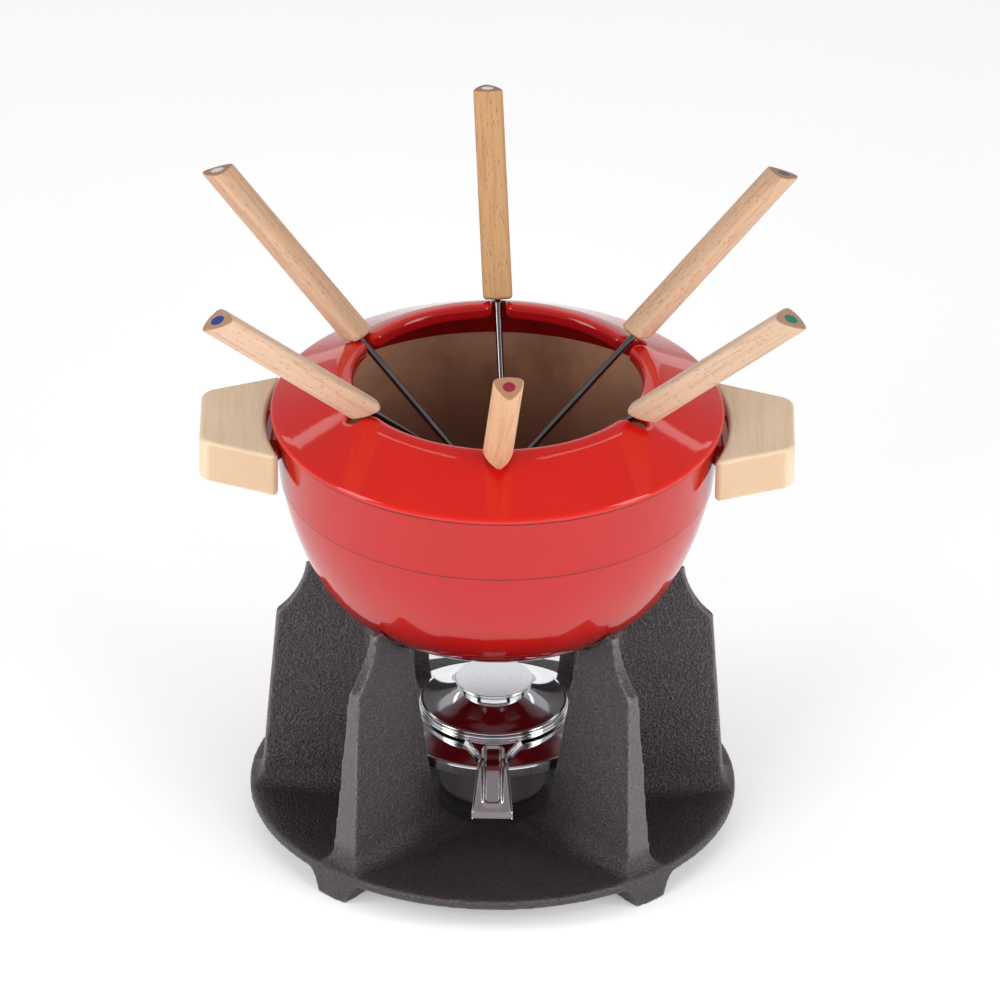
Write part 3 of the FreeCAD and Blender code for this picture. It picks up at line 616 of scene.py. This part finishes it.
def lever_height(radius):
    """Top of the sheet along its middle: nearly level, then a soft bend and a slope."""
    bend_r, bend_z = BEND
    level = WEB_Z - (radius - WEB_R) * (WEB_Z - bend_z) / (bend_r - WEB_R)
    slope = bend_z - (radius - bend_r) * (bend_z - TIP_Z) / (TIP_R - bend_r)
    return -BEND_SOFTNESS * math.log(math.exp(-level / BEND_SOFTNESS) + math.exp(-slope / BEND_SOFTNESS))


def lever_relief(x, radius):
    """Height of the raised bead that frames the lever's recess, less the turned-down edges."""
    half_x, half_r = FRAME_HALF
    dx = abs(x) - (half_x - FRAME_CORNER_R)
    dr = abs(radius - FRAME_MIDDLE_R) - (half_r - FRAME_CORNER_R)
    outside = math.hypot(max(dx, 0), max(dr, 0)) + min(max(dx, dr), 0) - FRAME_CORNER_R
    bead = BEAD_HEIGHT * math.cos(min(abs(outside) / BEAD_HALF, 1.0) * math.pi / 2) ** 2
    pan = PAN_DEPTH * smoothstep(-outside, 0.0, PAN_RUN)
    flange = FLANGE_DEPTH + WEB_FLANGE_EXTRA * (1 - smoothstep(radius, *FLANGE_FADE))
    edge = lever_half(radius) - abs(x)
    turned_down = flange * (1 - smoothstep(edge, 0.0, FLANGE_ROLL))
    ridge = RIDGE_HEIGHT * math.exp(-((edge - RIDGE_INSET) / RIDGE_HALF) ** 2)
    return bead - pan - turned_down + ridge - TIP_DROP * smoothstep(radius, TIP_DROP_START, TIP_R)


def lever_shell():
    """The regulator's pressed lever with its framed recess and turned-down edges."""
    points = []
    corner_row = LEVER_ALONG - TIP_CORNER_ROWS
    for j in range(LEVER_ALONG + 1):
        radius = LEVER_START_R + (TIP_R - LEVER_START_R) * j / LEVER_ALONG
        turn = max(j - corner_row, 0) / TIP_CORNER_ROWS
        narrowing = 1 - TIP_CORNER_DRAW * (1 - math.sqrt(1 - turn ** 2))
        for i in range(LEVER_ACROSS + 1):
            x = lever_half(radius) * (2 * i / LEVER_ACROSS - 1) * narrowing
            points.append((x * MM, -radius * MM, (lever_height(radius) + lever_relief(x, radius)) * MM))
    row = LEVER_ACROSS + 1
    faces = [(j * row + i, (j + 1) * row + i, (j + 1) * row + i + 1, j * row + i + 1)
             for j in range(LEVER_ALONG) for i in range(LEVER_ACROSS)]
    mesh = bpy.data.meshes.new("lever_shell")
    mesh.from_pydata(points, [], faces)
    made = add_object("lever_shell", mesh)
    solid = made.modifiers.new("sheet", "SOLIDIFY")
    solid.thickness = LEVER_SHEET * MM
    solid.offset = -1.0
    baked(made)
    smooth(made.data, 50.0)
    return made


# ---- stand ---------------------------------------------------------------------------------------
def cast_stand():
    """The iron casting with the soft edges and slight waves of a sand mould."""
    made = add_object("stand_iron", nodes["stand_casting"].data.copy())
    remesh = made.modifiers.new("grain", "REMESH")
    remesh.mode = "VOXEL"
    remesh.voxel_size = STAND_VOXEL
    soften = made.modifiers.new("soften", "SMOOTH")
    soften.factor = 0.5
    soften.iterations = STAND_SMOOTHING
    baked(made)
    mesh = made.data
    places = np.empty(len(mesh.vertices) * 3)
    normals = np.empty_like(places)
    mesh.vertices.foreach_get("co", places)
    mesh.vertices.foreach_get("normal", normals)
    places, normals = places.reshape(-1, 3), normals.reshape(-1, 3)
    wave = np.array([noise.noise(Vector(place) * WAVE_SCALE) for place in places])
    places += normals * ((wave - 1) * WAVE_HEIGHT)[:, None]
    places[:, 2] = np.maximum(places[:, 2], 0.0)
    mesh.vertices.foreach_set("co", places.ravel())
    smooth(mesh, 60.0)
    return made


# ---- materials on the parts ----------------------------------------------------------------------
def cover(material, *names):
    """Gives CAD nodes a material."""
    for name in names:
        mesh = nodes[name].data
        mesh.materials.clear()
        mesh.materials.append(material)


chrome = polished("chrome", rgb(214, 214, 218), rgb(236, 236, 238), 0.035, 0.11)
# The lever's chrome is dimmer and tinted pink: a painted reflection of the red pot above it.
lever_plate = polished("lever_plate", rgb(186, 176, 179), rgb(212, 204, 207), 0.03, 0.09)
screw_steel = polished("screw_steel", rgb(120, 120, 122), rgb(160, 160, 162), 0.25, 0.4)
cup_steel = polished("cup_steel", rgb(92, 86, 92), rgb(116, 110, 116), 0.2, 0.3, metal=0.5)
gauze_steel = polished("gauze_steel", rgb(96, 92, 88), rgb(140, 136, 132), 0.35, 0.5)
cap_satin = spun("cap_satin", rgb(220, 223, 226), rgb(234, 236, 238), 0.2, 0.000004)
insert_steel = spun("insert_steel", rgb(140, 138, 136), rgb(168, 166, 164), 0.3, 0.00003)

cover(bowl_material(), "pot_bowl")
cover(grip_material(), "pot_handle_left", "pot_handle_right")
cover(screw_steel, "handle_screws")
cover(cup_steel, "burner_cup")
cover(chrome, "burner_tray", "burner_throat", "regulator_ring", "regulator_lever", "snuffer_bell")
cover(cap_satin, "snuffer_cap")
cover(insert_steel, "fuel_insert")
cover(gauze_steel, "burner_gauze")
cover(wadding_material(), "fuel_wadding")

INLAYS = {
    "back": (rgb(240, 234, 222), rgb(214, 204, 188)),
    "back_left": (rgb(226, 224, 222), rgb(196, 194, 192)),
    "back_right": (rgb(64, 64, 68), rgb(44, 44, 48)),
    "front_left": (rgb(34, 62, 148), rgb(24, 44, 118)),
    "front_right": (rgb(40, 128, 106), rgb(28, 98, 82)),
    "front": (rgb(160, 28, 50), rgb(130, 18, 40)),
}
for fork in FORKS:
    cover(fork_wood_material(fork), f"fork_{fork}_handle")
    cover(fork_steel_material(fork), f"fork_{fork}_shaft")
    cover(inlay_material(fork, *INLAYS[fork]), f"fork_{fork}_inlay")

guard = guard_shell()
guard.data.materials.append(guard_material())
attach(guard, "guard")
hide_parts("guard_ring")

lever = lever_shell()
lever.data.materials.append(lever_plate)
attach(lever, "regulator")
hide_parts("regulator_lever")

stand = cast_stand()
stand.data.materials.clear()
stand.data.materials.append(iron_material())
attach(stand, "stand")
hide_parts("stand_casting")


# ---- studio --------------------------------------------------------------------------------------
def add_floor():
    """Plain pale floor that glows a little, so that it stays near white."""
    mesh = bpy.data.meshes.new("floor")
    far = 6.0
    mesh.from_pydata([(-far, -far, 0), (far, -far, 0), (far, far, 0), (-far, far, 0)], [], [(0, 1, 2, 3)])
    floor = add_object("floor", mesh)
    g = Graph("floor", Roughness=0.6, Specular_IOR_Level=0.2)
    pale = g.mix(g.noise(g.place, 3.0), rgb(246, 246, 246), rgb(250, 250, 250))
    g.set(Base_Color=pale, Emission_Color=pale, Emission_Strength=0.26)
    mesh.materials.append(g.material)


def add_light(name, place, aim, size, power, diffuse=True, glossy=True):
    """Soft rectangular light of the given width and height."""
    data = bpy.data.lights.new(name, "AREA")
    data.shape = "RECTANGLE"
    data.size, data.size_y = size
    data.energy = power
    made = bpy.data.objects.new(name, data)
    bpy.context.scene.collection.objects.link(made)
    made.location = place
    made.rotation_euler = (Vector(aim) - Vector(place)).to_track_quat("-Z", "Y").to_euler()
    made.visible_diffuse = diffuse
    made.visible_glossy = glossy


def add_world():
    """Grey room light: palest from the horizon down, darkest overhead."""
    world = bpy.data.worlds.new("room")
    bpy.context.scene.world = world
    world.use_nodes = True
    tree = world.node_tree
    coords = tree.nodes.new("ShaderNodeTexCoord")
    split = tree.nodes.new("ShaderNodeSeparateXYZ")
    ramp = tree.nodes.new("ShaderNodeValToRGB")
    tree.links.new(coords.outputs["Generated"], split.inputs[0])
    tree.links.new(split.outputs[2], ramp.inputs[0])
    stops = ramp.color_ramp.elements
    stops[0].position, stops[0].color = 0.0, (0.5, 0.5, 0.51, 1.0)
    stops[1].position, stops[1].color = 1.0, (0.3, 0.3, 0.31, 1.0)
    middle = stops.new(0.45)
    middle.color = (0.42, 0.42, 0.43, 1.0)
    tree.links.new(ramp.outputs[0], tree.nodes["Background"].inputs[0])


def add_camera():
    """Long lens from the front, looking down on the set."""
    data = bpy.data.cameras.new("camera")
    data.lens = CAMERA_LENS
    data.sensor_width = 36.0
    data.clip_end = 50.0
    made = bpy.data.objects.new("camera", data)
    bpy.context.scene.collection.objects.link(made)
    tilt = math.radians(CAMERA_ELEVATION)
    made.location = CAMERA_AIM + CAMERA_DISTANCE * Vector((0, -math.cos(tilt), math.sin(tilt)))
    look = Matrix.Rotation(math.pi / 2 - tilt, 4, "X")
    roll = Matrix.Rotation(math.radians(CAMERA_ROLL), 4, "Z")
    made.rotation_euler = (look @ roll).to_euler()
    bpy.context.scene.camera = made


add_floor()
add_world()
ORIGIN = (0.0, 0.0, 0.0)
BURNER_MIDDLE = (0.0, 0.0, 0.12)
BOWL_MIDDLE = (0.0, 0.0, 0.18)
RIM_MIDDLE = (0.0, 0.0, 0.2)
SOFTBOX = (1.2, 1.2)
SIDE_BOX = (0.5, 1.3)
STRIP = (0.09, 1.7)
add_light("overhead", (0.0, -0.1, 2.6), ORIGIN, (2.6, 2.6), 13.0, glossy=False)
add_light("front_left", (-1.3, -2.0, 1.1), BURNER_MIDDLE, SOFTBOX, 23.0, glossy=False)
add_light("front_right", (1.5, -1.9, 0.9), BURNER_MIDDLE, SOFTBOX, 23.0, glossy=False)
add_light("left_box", (-1.5, -0.5, 0.75), BOWL_MIDDLE, SIDE_BOX, 9.0)
add_light("right_box", (1.5, -0.6, 0.75), BOWL_MIDDLE, SIDE_BOX, 9.0)
add_light("left_strip", (-0.8, 0.9, 1.67), RIM_MIDDLE, STRIP, 0.9, diffuse=False)
add_light("right_strip", (0.8, 0.9, 1.67), RIM_MIDDLE, STRIP, 0.9, diffuse=False)
add_light("back_panel", (0.0, 2.6, 1.0), RIM_MIDDLE, (1.9, 1.8), 6.8, diffuse=False)
add_camera()
bpy.context.scene.view_settings.view_transform = "Standard"
